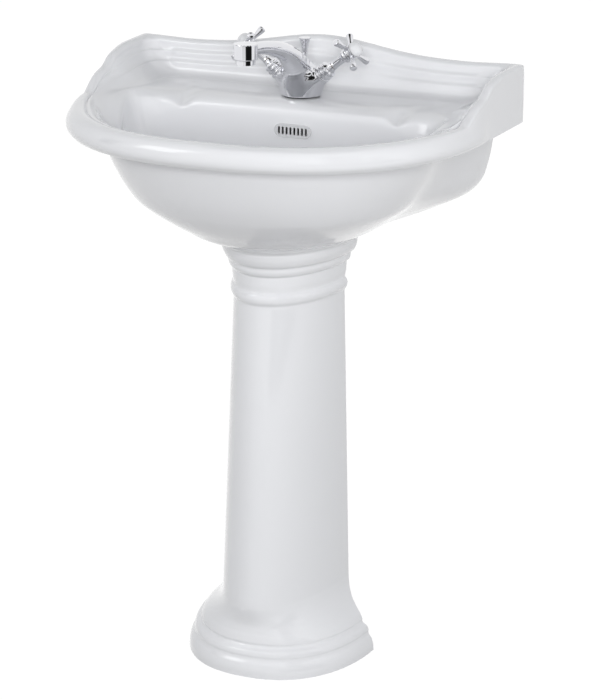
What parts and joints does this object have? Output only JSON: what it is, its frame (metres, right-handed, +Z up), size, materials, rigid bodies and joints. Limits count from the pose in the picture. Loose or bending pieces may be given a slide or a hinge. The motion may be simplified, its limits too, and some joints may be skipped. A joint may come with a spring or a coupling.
{
  "type": "pedestal sink",
  "caption": "Pedestal wash basin with a wavy upstand, moulded pedestal, cross-head mixer tap, pop-up waste and bottle trap.",
  "frame": {"origin": "on the floor, midway between the two sides and midway between the wall plane and the front of the rim", "axes": "+X is the basin's right as seen by a user facing it, +Y points to the wall, +Z is up"},
  "size_m": [0.5986, 0.444, 0.9175],
  "materials": {
    "china": "glazed vitreous china, cool white, high gloss",
    "chrome": "polished chrome plate on brass",
    "brass": "machined brass",
    "rubber": "moulded rubber",
    "plastic": "moulded white plastic",
    "steel": "plated steel",
    "copper": "copper tube"
  },
  "bodies": {
    "basin_and_pedestal": {"basin": "china", "pedestal": "china", "overflow_grille": "chrome", "waste_flange": "chrome", "flange_seal": "rubber", "waste_washer": "rubber", "waste_backnut": "brass", "waste_tee": "chrome", "pivot_nut": "chrome", "trap_inlet_nut": "plastic", "trap_washer": "rubber", "trap_body": "plastic", "trap_cup": "plastic", "trap_cup_seal": "rubber", "trap_outlet_nut": "plastic", "outlet_washer": "rubber", "outlet_pipe": "plastic", "tap_body": "chrome", "tap_base_seal": "rubber", "nozzle": "chrome", "aerator": "plastic", "tap_stud": "brass", "horseshoe_rubber": "rubber", "horseshoe_plate": "steel", "tap_nut": "brass", "bonnet_left": "chrome", "bonnet_right": "chrome", "cartridge_left": "brass", "cartridge_right": "brass", "supply_tail_left": "copper", "supply_tail_right": "copper"},
    "handle_left": {"cross_handle_left": "chrome", "spindle_left": "brass", "handle_screw_left": "steel", "handle_cap_left": "china"},
    "handle_right": {"cross_handle_right": "chrome", "spindle_right": "brass", "handle_screw_right": "steel", "handle_cap_right": "china"},
    "lift_linkage": {"lift_knob": "chrome", "lift_rod": "chrome", "lift_strap": "steel", "strap_screw": "steel"},
    "pivot": {"pivot_rod": "steel"},
    "plug": {"plug": "chrome", "plug_seal": "rubber"}
  },
  "joints": [
    {"name": "handle_left_turn", "type": "hinge", "parent": "basin_and_pedestal", "child": "handle_left", "pos_m": [0, 0.127, 0.8185], "axis": [-0.7861, -0.0698, 0.6142], "range_deg": [0, 90]},
    {"name": "handle_right_turn", "type": "hinge", "parent": "basin_and_pedestal", "child": "handle_right", "pos_m": [0, 0.127, 0.8185], "axis": [0.7861, -0.0698, 0.6142], "range_deg": [-90, 0]},
    {"name": "lift_slide", "type": "slide", "parent": "basin_and_pedestal", "child": "lift_linkage", "axis": [0, 0, 1], "range_m": [0, 0.024]},
    {"name": "pivot_tilt", "type": "hinge", "parent": "basin_and_pedestal", "child": "pivot", "pos_m": [0, 0.041, 0.568], "axis": [1, 0, 0], "range_deg": [0, 14.08]},
    {"name": "plug_slide", "type": "slide", "parent": "basin_and_pedestal", "child": "plug", "axis": [0, 0, 1], "range_m": [-0.00665, 0]}
  ],
  "couplings": [
    {"joint": "pivot_tilt", "follows": "lift_slide", "rad_per_m": 10.204},
    {"joint": "plug_slide", "follows": "lift_slide", "ratio": -0.27551}
  ]
}
